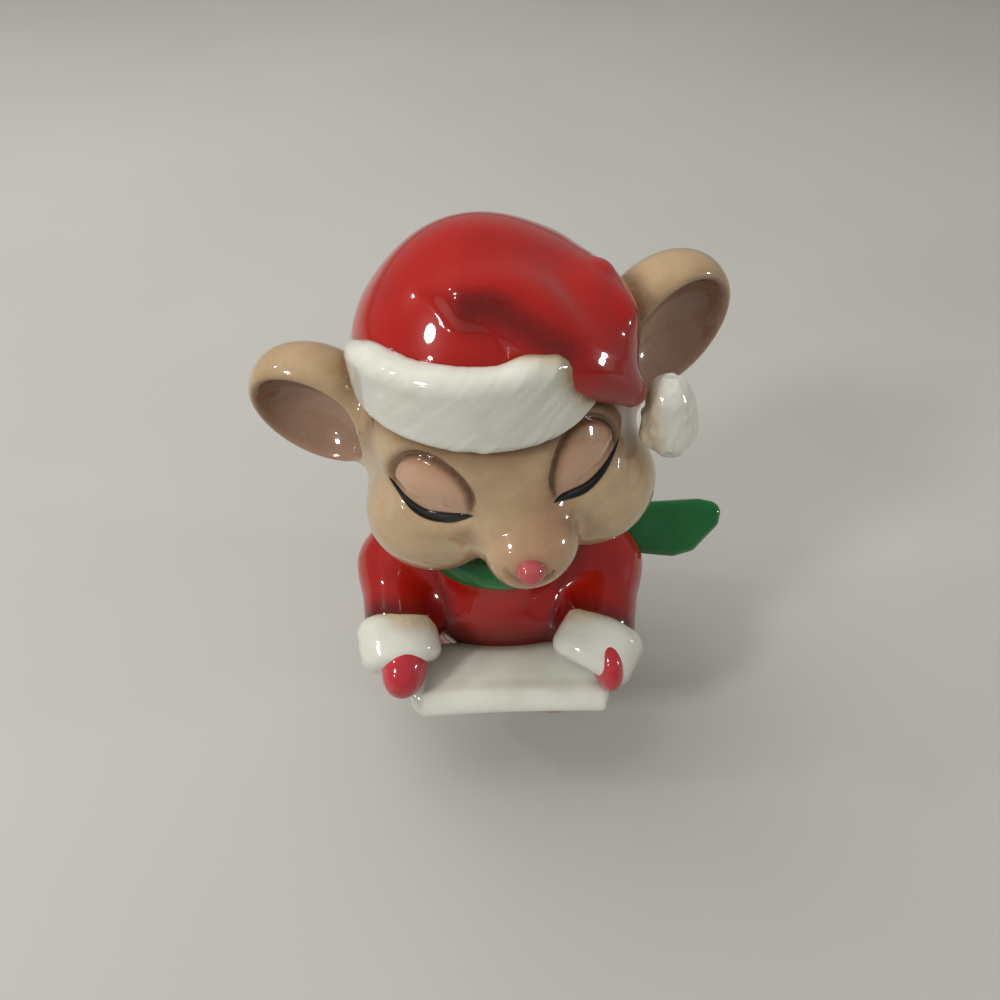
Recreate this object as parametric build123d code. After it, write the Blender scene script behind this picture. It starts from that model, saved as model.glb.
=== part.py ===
from build123d import *
import math
import os

# A glazed ceramic Christmas mouse: it stands in a fur-trimmed coat, eyes closed, and holds a song sheet.
# Millimetres, +Z up. The front faces -Y, +X is the viewer's right, and the origin is the middle of the
# vent hole on the plane that the figure stands on. Left and right in the names are the mouse's own, so
# its left side is +X. The figure is cast hollow in separate moulds, and the castings are stuck together.
# Angles are in degrees.

# Cast clay
wall = 3.5
vent_radius = 4.0
edge_round_share = 0.45
cut_overrun = 60.0

# Coat, turned about the upright axis
coat_radius = 19.5
coat_height = 46.0
coat_outline_shares = [(0, 1.0), (0.13, 0.98), (0.35, 0.85), (0.63, 0.82), (0.83, 0.77), (0.95, 0.62), (1.0, 0.5)]
neck_radius = 8.0
neck_height = 7.0
hem_height = 7.0
hem_thickness = 5.2
hem_seat_share = 0.7

# Head, before it is turned and set on the neck
head_width = 42.0
head_depth = 38.0
head_height = 40.0
head_rise_share = 0.445
head_side_share = -0.02
head_forward_share = -0.154
head_yaw = 6.0
head_roll = -8.0
cheek_width = 22.8
cheek_depth = 21.6
cheek_height = 20.4
cheek_place_share = (0.59, -0.35, -0.5)
cheek_yaw = 20.0
snout_root_radius = 8.3
snout_tip_radius = 6.2
snout_reach = 5.3
snout_drop = 1.1
snout_swing = 0.7
snout_place_share = (0.014, -0.79, -0.32)
nose_radius = 2.1
nose_place_share = (0.05, -0.92, 0.26)

# Closed eyes
eye_length = 13.6
eye_height = 11.2
eye_depth = 6.0
eye_place_share = (0.538, -0.816, 0.17)
eye_yaw = 34.0
eye_pitch = -12.0
eye_slant = -7.0
lid_share = 0.87
lid_step = 2.1

# Ears
ear_length = 23.6
ear_height = 20.0
ear_depth = 17.0
ear_rim = 1.8
ear_cup_drop = 0.8
ear_place_share = (0.6, 0.158, 0.36)
ear_skew_share = 0.1
ear_yaw = 20.0
ear_slant = -36.0
ear_cut_share = 0.29
ear_cup_share = 0.47
stem_root_radius = 7.5
stem_end_radius = 6.0
stem_root_share = (0.71, 0.16, 0.05)
stem_end_share = (1.0, 0.21, 0.2)

# Hat
crown_height = 36.0
crown_fit_share = (0.955, 1.0)
crown_place_share = (0.024, 0.16, 0.675)
fold_radius = 4.9
fold_path_share = [
    (-0.14, -0.49, 0.66),
    (0.2, -0.66, 0.59),
    (0.5, -0.8, 0.3),
    (0.73, -0.77, 0.01),
    (0.9, -0.73, -0.18),
]
fold_radius_share = [0.5, 0.75, 1.0, 0.86, 0.53]
drape_width = 17.0
drape_depth = 21.0
drape_height = 17.0
drape_place_share = (0.68, -0.26, 0.16)
band_height = 11.8
band_thickness = 5.4
band_fit_share = 0.89
band_place_share = (0.025, 0.095, 0.805)
band_pitch = -3.0
band_roll = 1.0
pompom_width = 8.4
pompom_depth = 8.6
pompom_height = 12.6
pompom_seat_share = 1.06
pompom_way_share = (0.85, 0.08, -0.5)

# Scarf
scarf_ring_radius = 12.5
scarf_thickness = 7.8
scarf_place_share = (-0.13, 0.94)
scarf_pitch = 12.0
scarf_end_length = 27.0
scarf_end_width = 11.5
scarf_end_thickness = 3.6
scarf_end_outline_shares = [(0, -0.36), (0.72, -0.5), (0.96, 0.18), (1.0, 0.32), (0.88, 0.5), (0, 0.36)]
scarf_end_place_share = (0.86, 0.1, 0.69)
scarf_end_pitch = 47.0
scarf_end_roll = -3.0

# Arms
shoulder_radius = 7.5
elbow_radius = 7.8
wrist_radius = 6.8
shoulder_place_share = (0.65, -0.05, 0.815)
elbow_place_share = (0.95, -0.31, 0.65)
forearm_reach = 12.0
forearm_turn_share = (-0.08, -1.0, -0.17)
cuff_radius = 7.9
cuff_length = 10.0
cuff_round_share = 0.34
cuff_place_share = 0.3
cuff_yaw = -32.0
cuff_pitch = 25.0
mitten_width = 6.6
mitten_length = 10.5
mitten_height = 9.6
mitten_place_share = (0.02, -0.48, -0.1)
mitten_yaw = 10.0
mitten_pitch = 20.0

# Song sheet
sheet_width = 36.0
sheet_depth = 17.0
sheet_thickness = 2.4
sheet_lip_share = 1.5
sheet_curl_share = 0.1
sheet_rise_share = 0.07
sheet_drop_share = 0.74
sheet_reach_share = 0.14
sheet_side_share = 0.06
sheet_pitch = -14.0
sheet_roll = -2.0

# Feet and tail
foot_width = 13.0
foot_length = 21.0
foot_height = 9.6
foot_place_share = (0.62, -0.58)
foot_yaw = -12.0
tail_root_radius = 3.0
tail_tip_radius = 1.5
tail_path_share = [(0.1, 1.04), (0.42, 1.2), (0.8, 1.05), (1.1, 0.66), (1.2, 0.2)]
tail_rise_share = [0, 0, 0.05, 0.2, 0.6]
tail_lift_share = 1.1


def egg(width, depth, height, place=Location()):
    """An ellipsoid of three full sizes."""
    return place * scale(Sphere(1), by=(width / 2, depth / 2, height / 2))


def limb(start, end, start_radius, end_radius):
    """A tapered limb with round ends, turned about the line between its two centres."""
    start, end = Vector(*start), Vector(*end)
    run = (end - start).length
    taper = math.asin((start_radius - end_radius) / run)
    start_swing, end_swing = (math.pi / 2 + taper) / 2, (math.pi / 2 - taper) / 2
    start_edge = (start_radius * math.cos(taper), 0, start_radius * math.sin(taper))
    end_edge = (end_radius * math.cos(taper), 0, run + end_radius * math.sin(taper))
    start_middle = (start_radius * math.sin(start_swing), 0, -start_radius * math.cos(start_swing))
    end_middle = (end_radius * math.sin(end_swing), 0, run + end_radius * math.cos(end_swing))
    outline = [
        ThreePointArc((0, 0, -start_radius), start_middle, start_edge),
        Line(start_edge, end_edge),
        ThreePointArc(end_edge, end_middle, (0, 0, run + end_radius)),
        Line((0, 0, run + end_radius), (0, 0, -start_radius)),
    ]
    return Plane(origin=start, z_dir=end - start).location * revolve(make_face(outline), Axis.Z)


def tapered_tube(points, radii):
    """A bent tube through circles set square to its path, with a round tip."""
    path = [Vector(*point) for point in points]
    ways = [path[1] - path[0]]
    ways += [after - before for before, after in zip(path, path[2:])]
    ways += [path[-1] - path[-2]]
    rings = [Plane(origin=at, z_dir=way) * Circle(radius) for at, way, radius in zip(path, ways, radii)]
    return loft(rings) + Pos(*path[-1]) * Sphere(radii[-1])


def turned_outline(radius, height, inset=0):
    """The coat's outline as a closed face in the XZ plane, drawn in by an inset on the side and the foot."""
    points = [(radius * out - inset, 0, height * up) for up, out in coat_outline_shares]
    points[0] = (points[0][0], 0, inset)
    side = Spline(points)
    top = Line(points[-1], (0, 0, height))
    axis = Line((0, 0, height), (0, 0, inset))
    foot = Line((0, 0, inset), points[0])
    return make_face([side, top, axis, foot])


def shares_of(half_sizes, shares):
    """A place given as shares of three half sizes."""
    return tuple(half * share for half, share in zip(half_sizes, shares))


def flip(place, side):
    """A place moved to the other side of the middle plane, for side -1."""
    return (place[0] * side, place[1], place[2])


def turn_to(side, shape):
    """The shape itself on side 1, and its mirror image on side -1."""
    return shape if side == 1 else mirror(shape, about=Plane.YZ)


def fitted(shape, *neighbours):
    """The shape cut back by each neighbour in turn, as its largest solid, without slivers."""
    for neighbour in neighbours:
        shape = shape - neighbour
    return shape.solids().sort_by(SortBy.VOLUME)[-1]


# Coat
coat_body = revolve(turned_outline(coat_radius, coat_height), Axis.Z)
neck_top = coat_height + neck_height
neck_post = extrude(Circle(neck_radius), neck_top)
coat_cavity = revolve(turned_outline(coat_radius, coat_height, wall), Axis.Z)
neck_bore = Pos(0, 0, wall) * extrude(Circle(neck_radius - wall), neck_top)
vent = extrude(Circle(vent_radius), wall * 2, both=True)
coat = fitted(coat_body + neck_post, coat_cavity, neck_bore, vent)

hem_ring_radius = coat_radius + hem_thickness * (0.5 - hem_seat_share)
hem_section = RectangleRounded(hem_thickness, hem_height, hem_thickness * edge_round_share)
hem_ring = revolve(Plane.XZ * Pos(hem_ring_radius, hem_height / 2) * hem_section, Axis.Z)
hem = fitted(hem_ring, coat_body)

# Head
head_half = (head_width / 2, head_depth / 2, head_height / 2)
head_centre = (
    coat_radius * head_side_share,
    coat_radius * head_forward_share,
    coat_height + head_height * head_rise_share,
)
head_place = Pos(*head_centre) * Rot(Z=head_yaw) * Rot(Y=head_roll)


def eye(side, size_share, forward):
    """The egg that hollows an eye's socket, or the smaller one that fills it as a lid."""
    place = Pos(*flip(shares_of(head_half, eye_place_share), side)) * Rot(Z=eye_yaw * side)
    place = place * Rot(X=eye_pitch) * Rot(Y=eye_slant * side) * Pos(0, -forward, 0)
    return egg(eye_length * size_share, eye_depth * size_share, eye_height * size_share, place)


head_skull = egg(head_width, head_depth, head_height)
snout_root = shares_of(head_half, snout_place_share)
snout_tip = (snout_root[0] + snout_swing, snout_root[1] - snout_reach, snout_root[2] - snout_drop)
snout = limb(snout_root, snout_tip, snout_root_radius, snout_tip_radius)
cheeks = []
for side in (-1, 1):
    cheek_centre = flip(shares_of(head_half, cheek_place_share), side)
    cheek_place = Pos(*cheek_centre) * Rot(Z=cheek_yaw * side)
    cheeks.append(egg(cheek_width, cheek_depth, cheek_height, cheek_place))
sockets = [eye(side, 1, 0) for side in (-1, 1)]
lids = [eye(side, lid_share, -lid_step) for side in (-1, 1)]
head_outer = head_skull + snout
for side in (0, 1):
    head_outer = head_outer + cheeks[side] - sockets[side] + lids[side]
skull, right_cheek, left_cheek = [head_place * shape for shape in (head_skull, *cheeks)]

# Hat, in the head's own directions
crown_half = (head_half[0] * crown_fit_share[0], head_half[1] * crown_fit_share[1], crown_height / 2)
crown_centre = shares_of(head_half, crown_place_share)
crown_seat = head_place * Pos(*crown_centre)
fold_path = [shares_of(crown_half, share) for share in fold_path_share]
fold = tapered_tube(fold_path, [fold_radius * share for share in fold_radius_share])
dome = egg(crown_half[0] * 2, crown_half[1] * 2, crown_height)
drape = egg(drape_width, drape_depth, drape_height, Pos(*shares_of(crown_half, drape_place_share)))
dome, fold, drape = [crown_seat * shape for shape in (dome, fold, drape)]
crown_cavity = crown_seat * egg((crown_half[0] - wall) * 2, (crown_half[1] - wall) * 2, crown_height - wall * 2)
head_cavity = head_place * egg(head_width - wall * 2, head_depth - wall * 2, head_height - wall * 2)

band_seat = head_place * Pos(*shares_of(head_half, band_place_share)) * Rot(X=band_pitch) * Rot(Y=band_roll)
band_section = RectangleRounded(band_thickness, band_height, band_thickness * edge_round_share)
band_ring = band_seat * revolve(Plane.XZ * Pos(crown_half[0] * band_fit_share, 0) * band_section, Axis.Z)

head = fitted(head_place * head_outer, head_cavity, crown_cavity, neck_post, coat_body)
crown = fitted(dome + fold + drape, skull, crown_cavity)
band = fitted(band_ring, skull, dome, fold, drape)

# Ears


def ear(side):
    """A scooped ear on its stem, before it is fitted to the head."""
    centre = (
        head_half[0] + ear_length / 2 * ear_place_share[0],
        head_half[1] * ear_place_share[1],
        head_half[2] * (ear_place_share[2] + ear_skew_share * side),
    )
    place = Pos(*flip(centre, side)) * Rot(Z=ear_yaw * side) * Rot(Y=ear_slant * side)
    outer = egg(ear_length, ear_depth, ear_height, place * Pos(0, ear_depth * ear_cut_share / 2, 0))
    cup_place = place * Pos(0, -ear_depth * ear_cup_share / 2, -ear_cup_drop)
    cup = egg(ear_length - ear_rim * 2, ear_depth, ear_height - ear_rim * 2, cup_place)
    front_reach = ear_depth * ear_cut_share / 2 + cut_overrun / 2
    front = place * Pos(0, -front_reach, 0) * Box(cut_overrun, cut_overrun, cut_overrun)
    stem_root = flip(shares_of(head_half, stem_root_share), side)
    stem_end = flip(shares_of(head_half, stem_end_share), side)
    stem = limb(stem_root, stem_end, stem_root_radius, stem_end_radius)
    return head_place * (outer - front + stem - cup)


right_ear = fitted(ear(-1), skull, right_cheek, dome, band_ring)
left_ear = fitted(ear(1), band_ring, skull, left_cheek, dome, drape, fold)

nose_way = Vector(*nose_place_share) * snout_tip_radius
nose_ball = Pos(*(Vector(*snout_tip) + nose_way)) * Sphere(nose_radius)
nose = head_place * fitted(nose_ball, snout)

fold_tip = Vector(*crown_centre) + Vector(*fold_path[-1])
pompom_gap = fold_radius * fold_radius_share[-1] + pompom_width / 2 * pompom_seat_share
pompom_centre = fold_tip + Vector(*pompom_way_share).normalized() * pompom_gap
pompom_egg = head_place * egg(pompom_width, pompom_depth, pompom_height, Pos(*pompom_centre))
pompom = fitted(pompom_egg, fold, left_cheek, skull, left_ear)

# Scarf
scarf_place = Pos(0, coat_radius * scarf_place_share[0], coat_height * scarf_place_share[1]) * Rot(X=scarf_pitch)
scarf_ring = scarf_place * Torus(scarf_ring_radius, scarf_thickness / 2)
scarf_wrap = fitted(scarf_ring, coat_body, neck_post, skull, left_cheek, right_cheek, head_place * snout)

scarf_end_points = [(scarf_end_length * along, scarf_end_width * up) for along, up in scarf_end_outline_shares]
scarf_end_outline = fillet(
    Polygon(*scarf_end_points, align=None).vertices(), scarf_end_thickness * edge_round_share
)
scarf_end_seat = Pos(
    coat_radius * scarf_end_place_share[0],
    coat_radius * scarf_end_place_share[1],
    coat_height * scarf_end_place_share[2],
)
scarf_end_seat = scarf_end_seat * Rot(X=scarf_end_pitch) * Rot(Y=scarf_end_roll)
scarf_end_solid = scarf_end_seat * extrude(scarf_end_outline, scarf_end_thickness / 2, both=True)

# Arms, mirrored from the mouse's left
shoulder = (
    coat_radius * shoulder_place_share[0],
    coat_radius * shoulder_place_share[1],
    coat_height * shoulder_place_share[2],
)
elbow = (coat_radius * elbow_place_share[0], coat_radius * elbow_place_share[1], coat_height * elbow_place_share[2])
forearm = Vector(*forearm_turn_share).normalized()
wrist = tuple(Vector(*elbow) + forearm * forearm_reach)
cuff_centre = Vector(*wrist) + forearm * (cuff_length * cuff_place_share)
upper_arm = limb(shoulder, elbow, shoulder_radius, elbow_radius)
lower_arm = limb(elbow, wrist, elbow_radius, wrist_radius)
sleeve_solid = upper_arm + lower_arm
cuff_place = Pos(*cuff_centre) * Rot(Z=cuff_yaw) * Rot(X=cuff_pitch)
cuff_blank = Cylinder(cuff_radius, cuff_length, rotation=(90, 0, 0))
cuff_solid = cuff_place * fillet(cuff_blank.edges().filter_by(GeomType.CIRCLE), cuff_length * cuff_round_share)
mitten_offset = (
    cuff_radius * mitten_place_share[0],
    cuff_length * mitten_place_share[1],
    cuff_radius * mitten_place_share[2],
)
mitten_place = Pos(*(cuff_centre + Vector(*mitten_offset))) * Rot(Z=mitten_yaw) * Rot(X=mitten_pitch)
mitten_solid = egg(mitten_width, mitten_length, mitten_height, mitten_place)

# Song sheet: a thick leaf whose side edges curl up and whose front edge rolls into a lip
sheet_place = Pos(
    sheet_width * sheet_side_share,
    cuff_centre.Y - cuff_length * sheet_reach_share,
    cuff_centre.Z - cuff_radius * sheet_drop_share,
) * Rot(X=sheet_pitch) * Rot(Y=sheet_roll)
sheet_half = (sheet_width - sheet_thickness) / 2
curl = sheet_width * sheet_curl_share
curl_rise = sheet_width * sheet_rise_share
sheet_line = FilletPolyline(
    (-sheet_half, curl_rise), (curl - sheet_half, 0), (sheet_half - curl, 0), (sheet_half, curl_rise), radius=curl
)
sheet_leaf = extrude(Plane.XZ * trace(sheet_line, sheet_thickness), sheet_depth / 2, both=True)
lip_radius = sheet_thickness * sheet_lip_share / 2
lip_place = Pos(0, -sheet_depth / 2, sheet_thickness / 2 - lip_radius)
lip_rod = lip_place * Cylinder(lip_radius, sheet_width - curl, rotation=(0, 90, 0))
sheet_blank = sheet_place * (sheet_leaf + lip_rod)

# Feet and tail
foot_seat = (coat_radius * foot_place_share[0], coat_radius * foot_place_share[1])
foot_egg = egg(foot_width, foot_length, foot_height, Pos(*foot_seat, 0) * Rot(Z=foot_yaw))
ground = Pos(0, 0, -cut_overrun / 2) * Box(cut_overrun * 2, cut_overrun * 2, cut_overrun)
foot = fitted(foot_egg, ground, hem_ring, coat_body)

tail_low = tail_root_radius * tail_lift_share
tail_points = [
    (coat_radius * out, coat_radius * back, tail_low + hem_height * rise_share)
    for (out, back), rise_share in zip(tail_path_share, tail_rise_share)
]
tail_steps = len(tail_points) - 1
tail_radii = [
    tail_root_radius + (tail_tip_radius - tail_root_radius) * step / tail_steps for step in range(tail_steps + 1)
]
tail_solid = tapered_tube(tail_points, tail_radii)

nodes = {
    "coat": coat,
    "coat_hem": hem,
    "head": head,
    "nose": nose,
    "hat_crown": crown,
    "hat_band": band,
    "pompom": pompom,
    "left_ear": left_ear,
    "right_ear": right_ear,
    "scarf_wrap": scarf_wrap,
}

arms = {1: "left", -1: "right"}
cuffs = {}
mittens = {}
sleeves = {}
for side, name in arms.items():
    cuffs[side] = turn_to(side, cuff_solid)
    mittens[side] = turn_to(side, mitten_solid)
    sleeves[side] = turn_to(side, sleeve_solid)
sheet = fitted(sheet_blank, coat_body, *cuffs.values(), *sleeves.values())
for side, name in arms.items():
    sleeve = fitted(sleeves[side], coat_body, cuffs[side], scarf_ring, left_cheek, right_cheek)
    nodes[name + "_sleeve"] = sleeve
    nodes[name + "_cuff"] = cuffs[side]
    nodes[name + "_mitten"] = fitted(mittens[side], cuffs[side], sheet)
    nodes[name + "_foot"] = turn_to(side, foot)
nodes["song_sheet"] = sheet
nodes["scarf_end"] = fitted(scarf_end_solid, coat_body, scarf_ring, sleeves[1])
nodes["tail"] = fitted(tail_solid, hem_ring, coat_body)

os.makedirs("parts", exist_ok=True)
for name, shape in nodes.items():
    export_step(shape, "parts/" + name + ".step")
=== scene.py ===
import math

import bpy
import numpy as np
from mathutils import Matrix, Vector


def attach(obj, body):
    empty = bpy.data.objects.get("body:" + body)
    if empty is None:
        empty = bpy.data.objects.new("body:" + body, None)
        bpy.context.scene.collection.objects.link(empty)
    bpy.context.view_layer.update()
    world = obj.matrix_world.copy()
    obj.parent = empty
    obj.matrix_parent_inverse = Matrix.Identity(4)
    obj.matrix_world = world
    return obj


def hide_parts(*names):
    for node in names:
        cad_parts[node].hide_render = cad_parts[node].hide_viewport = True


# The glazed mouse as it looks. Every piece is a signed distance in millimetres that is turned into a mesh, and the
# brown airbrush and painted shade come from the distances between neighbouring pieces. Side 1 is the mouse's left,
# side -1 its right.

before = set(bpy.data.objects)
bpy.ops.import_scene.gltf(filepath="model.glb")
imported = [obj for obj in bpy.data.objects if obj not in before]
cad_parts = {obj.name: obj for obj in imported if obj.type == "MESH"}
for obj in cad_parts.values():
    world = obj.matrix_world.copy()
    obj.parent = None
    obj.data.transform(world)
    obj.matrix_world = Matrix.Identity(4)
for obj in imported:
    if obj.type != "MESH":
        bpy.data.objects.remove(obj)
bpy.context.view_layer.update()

MM = 0.001
F = np.float32
SIDES = (-1, 1)


# Distances and the ways to join them


def rot(yaw=0.0, pitch=0.0, roll=0.0):
    """Columns are the turned axes: yaw about Z, then pitch about X, then roll about Y, in degrees."""
    a, b, c = (math.radians(v) for v in (yaw, pitch, roll))
    rz = np.array([[math.cos(a), -math.sin(a), 0], [math.sin(a), math.cos(a), 0], [0, 0, 1]])
    rx = np.array([[1, 0, 0], [0, math.cos(b), -math.sin(b)], [0, math.sin(b), math.cos(b)]])
    ry = np.array([[math.cos(c), 0, math.sin(c)], [0, 1, 0], [-math.sin(c), 0, math.cos(c)]])
    return rz @ rx @ ry


def local(p, origin, turn):
    """Points p as seen from a turned place."""
    return (p - np.asarray(origin, F)) @ np.asarray(turn, F)


def flip(p, side):
    """Points p mirrored for the right side."""
    return p * np.array([side, 1, 1], F)


def ellipsoid(p, centre, semi, turn=None):
    q = p - np.asarray(centre, F)
    if turn is not None:
        q = q @ np.asarray(turn, F)
    s = np.asarray(semi, F)
    k0 = np.sqrt(((q / s) ** 2).sum(-1))
    k1 = np.sqrt(((q / (s * s)) ** 2).sum(-1)) + 1e-6
    return k0 * (k0 - 1) / k1


def cone(p, a, b, ra, rb):
    """A straight tube from a to b with round ends, its radius going from ra to rb."""
    a, b = np.asarray(a, F), np.asarray(b, F)
    ab = b - a
    t = np.clip(((p - a) @ ab) / (ab @ ab), 0, 1)
    d = np.sqrt(((p - a - t[..., None] * ab) ** 2).sum(-1))
    return d - (ra + (rb - ra) * t)


def smin(a, b, k):
    """The union of two shapes, with a fillet of about k."""
    h = np.clip(0.5 + 0.5 * (b - a) / k, 0, 1)
    return b + (a - b) * h - k * h * (1 - h)


def smax(a, b, k):
    """What two shapes share, with its edge rounded by about k."""
    return -smin(-a, -b, k)


def step(a, b, x):
    """A soft step, 0 at a and 1 at b."""
    t = np.clip((x - a) / (b - a), 0, 1)
    return t * t * (3 - 2 * t)


def bell(x, width):
    return np.exp(-((x / width) ** 2))


def near(d, width):
    """1 on and inside a shape, fading out over about width."""
    return bell(np.maximum(d, 0), width)


def smooth(a, b, c, d, t):
    """The share t of the way from b to c on a smooth line through a, b, c and d (Catmull-Rom)."""
    return b + ((c - a) * t + (2 * a - 5 * b + 4 * c - d) * t**2 + (3 * b - a - 3 * c + d) * t**3) / 2


def thread(q, nodes, count=25):
    """From the nearest point of a smooth line through nodes (x, y, z, radius): the way to q, and the radius."""
    n = np.asarray(nodes, F)
    ext = np.vstack([2 * n[0] - n[1], n, 2 * n[-1] - n[-2]])

    def at(u):
        i = np.minimum(u.astype(int), len(n) - 2)
        t = (u - i)[..., None]
        a, b, c, d = (ext[i + j] for j in range(4))
        way = ((c - a) + 2 * (2 * a - 5 * b + 4 * c - d) * t + 3 * (3 * b - a - 3 * c + d) * t**2) / 2
        return smooth(a, b, c, d, t), way

    grid = np.linspace(0, len(n) - 1, count).astype(F)
    best, u = np.full(q.shape[:-1], 1e9, F), np.zeros(q.shape[:-1], F)
    for place, point in zip(grid, at(grid)[0][:, :3]):
        d = ((q - point) ** 2).sum(-1)
        u = np.where(d < best, place, u)
        best = np.minimum(best, d)
    for _ in range(3):
        value, way = at(u)
        move = ((q - value[..., :3]) * way[..., :3]).sum(-1) / (way[..., :3] ** 2).sum(-1)
        u = np.clip(u + np.clip(move, -0.5, 0.5), 0, len(n) - 1)
    value = at(u)[0]
    return q - value[..., :3], value[..., 3]


def grain(p, seed=0):
    """Smooth value noise, -1 to 1, the same each run."""
    i = np.floor(p).astype(np.int64)
    f = (p - i).astype(F)
    f = f * f * (3 - 2 * f)
    out = 0
    for dx in (0, 1):
        for dy in (0, 1):
            for dz in (0, 1):
                h = (i[..., 0] + dx) * 73856093 ^ (i[..., 1] + dy) * 19349663 ^ (i[..., 2] + dz) * 83492791
                h = (h + seed * 974711) & 0x7FFFFFFF
                h = ((h ^ (h >> 13)) * 1274126177) & 0x7FFFFFFF
                h = (h ^ (h >> 16)) & 0xFFFF
                wx = f[..., 0] if dx else 1 - f[..., 0]
                wy = f[..., 1] if dy else 1 - f[..., 1]
                wz = f[..., 2] if dz else 1 - f[..., 2]
                out = out + (h / 32767.5 - 1).astype(F) * wx * wy * wz
    return out


def tufts(s, z, r, size, seed):
    """Short fur strokes that run down to the left, as a height."""
    across = (s - z) / math.sqrt(2)
    down = (s + z) / math.sqrt(2)
    wave = grain(np.stack([across / size, down / (size * 5), r / 8], -1), seed)
    fine = grain(np.stack([across / (size * 0.45), down / (size * 3), r / 8 + 9], -1), seed + 1)
    return wave + 0.45 * fine


def rounded(a, b, rounding):
    """A shape with rounded edges, from the distances a and b past its two kinds of side."""
    a, b = a + rounding, b + rounding
    return np.hypot(np.maximum(a, 0), np.maximum(b, 0)) + np.minimum(np.maximum(a, b), 0) - rounding


def ring(q, radius, half_width, half_height, rounding):
    """A band with a rounded section about the local Z axis."""
    r = np.hypot(q[..., 0], q[..., 1]) - radius
    return rounded(np.abs(r) - half_width, np.abs(q[..., 2]) - half_height, rounding)


def polygon(q, corners):
    """Signed distance from a closed outline in the plane of the first two coordinates."""
    c = np.asarray(corners, F)
    d = np.full(q.shape[:-1], 1e9, F)
    sign = np.ones(q.shape[:-1], F)
    for i in range(len(c)):
        j = i - 1
        e = c[j] - c[i]
        wx, wy = q[..., 0] - c[i][0], q[..., 1] - c[i][1]
        t = np.clip((wx * e[0] + wy * e[1]) / (e @ e), 0, 1)
        d = np.minimum(d, (wx - e[0] * t) ** 2 + (wy - e[1] * t) ** 2)
        c1, c2 = q[..., 1] >= c[i][1], q[..., 1] < c[j][1]
        c3 = e[0] * wy > e[1] * wx
        swap = (c1 & c2 & c3) | (~c1 & ~c2 & ~c3)
        sign = np.where(swap, -sign, sign)
    return sign * np.sqrt(d)


def around(p):
    """The angle about the Z axis, from the front towards the mouse's left."""
    return np.arctan2(p[..., 0], -p[..., 1])


# The head: its places and turns are in the head's own directions, from its middle

HEAD_C = (-0.39, -3.0, 63.8)
HEAD_R = rot(yaw=6, roll=-8)
FACE_SEMI = (21, 19, 20)
CHEEK = ((12.4, -6.65, -10), (11.4, 10.8, 10.2), rot(yaw=20))
MUZZLE = ((0.29, -15.0, -6.4), (0.99, -20.3, -7.5), 8.3, 6.2)
MUZZLE_PAD = ((3.4, -19.6, -7.4), (5.6, 5.6, 5.4))
FACE_BLEND = 4.5
PAD_BLEND = 2.0
NOSE = ((1.3, -26.0, -5.9), (2.1, 2.0, 2.0))
# The mouth's line with half widths
MOUTH = [
    (-2.2, -25.4, -5.9, 0.35),
    (-1.3, -26.0, -7.2, 0.65),
    (0.0, -26.3, -8.0, 0.6),
    (1.6, -26.3, -8.3, 0.5),
    (3.2, -25.9, -8.0, 0.4),
    (4.3, -25.3, -7.2, 0.25),
]
MOUTH_DEPTH = 0.6

# Each ear: a ball cut flat in front, scooped by the cup, on a short stem; the left one sits higher
EAR_C = (28.08, 3.0, 7.2)
EAR_LIFT = 2
EAR_R = rot(yaw=20) @ rot(roll=-36)
EAR_BALL = ((0, 2.465, 0), (11.75, 8.5, 10))
EAR_FLAT = 2.465
EAR_CUP = ((0, -3.995, -0.8), (10.0, 8.5, 8.2))
EAR_STEM = ((14.91, 3.04, 1.0), (21, 3.99, 4.0), 7.5, 6.0)
EAR_BLEND = 3.5

# Each eye's outline as radii every 30 degrees, from its outer corner over the lid, and its lashes as places in the
# plane of the eye with half widths
EYE_C = np.array([11.3, -15.4, 3.4])
EYE_R = rot(yaw=34, pitch=-12) @ rot(roll=-7)
EYE_OUT = {
    1: (7.0, 6.5, 6.2, 5.7, 4.9, 4.8, 5.4, 6.6, 5.7, 5.35, 5.35, 6.6),
    -1: (6.35, 5.8, 5.45, 5.3, 5.3, 5.8, 6.55, 6.85, 6.4, 6.1, 5.95, 6.9),
}
LASHES = {
    1: [
        (-6.4, -2.7, 0.12),
        (-4.2, -3.6, 0.75),
        (-1.6, -4.5, 0.85),
        (0.9, -4.4, 0.7),
        (3.4, -3.8, 0.5),
        (5.5, -3.0, 0.3),
        (7.8, -2.0, 0.06),
    ],
    -1: [
        (-7.0, -2.2, 0.12),
        (-5.0, -3.6, 0.65),
        (-2.9, -4.7, 1.0),
        (-0.2, -5.2, 0.95),
        (2.3, -4.7, 0.78),
        (4.8, -3.5, 0.5),
        (7.3, -1.6, 0.06),
    ],
}
LID_HEIGHT = 0.55
RIM_DEPTH = 0.75
BROW_HEIGHT = 0.25
UNDER_DEPTH = 0.55
CHEEK_HEIGHT = 0.42

# A piece that others blend into lies a seam's depth under the blend, and reaches this far under the others
SEAM = 0.02
OVERLAP = 0.8


def head_local(p):
    return local(p, HEAD_C, HEAD_R)


def face_base(q):
    d = ellipsoid(q, (0, 0, 0), FACE_SEMI)
    for s in SIDES:
        d = smin(d, ellipsoid(flip(q, s), *CHEEK), FACE_BLEND)
    d = smin(d, cone(q, *MUZZLE), FACE_BLEND)
    return smin(d, ellipsoid(q, *MUZZLE_PAD), PAD_BLEND)


def ear_local(q, s):
    """Points of the head as seen from one ear."""
    x, y, z = EAR_C
    return local(flip(q, s), (x, y, z + EAR_LIFT * s), EAR_R)


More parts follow.
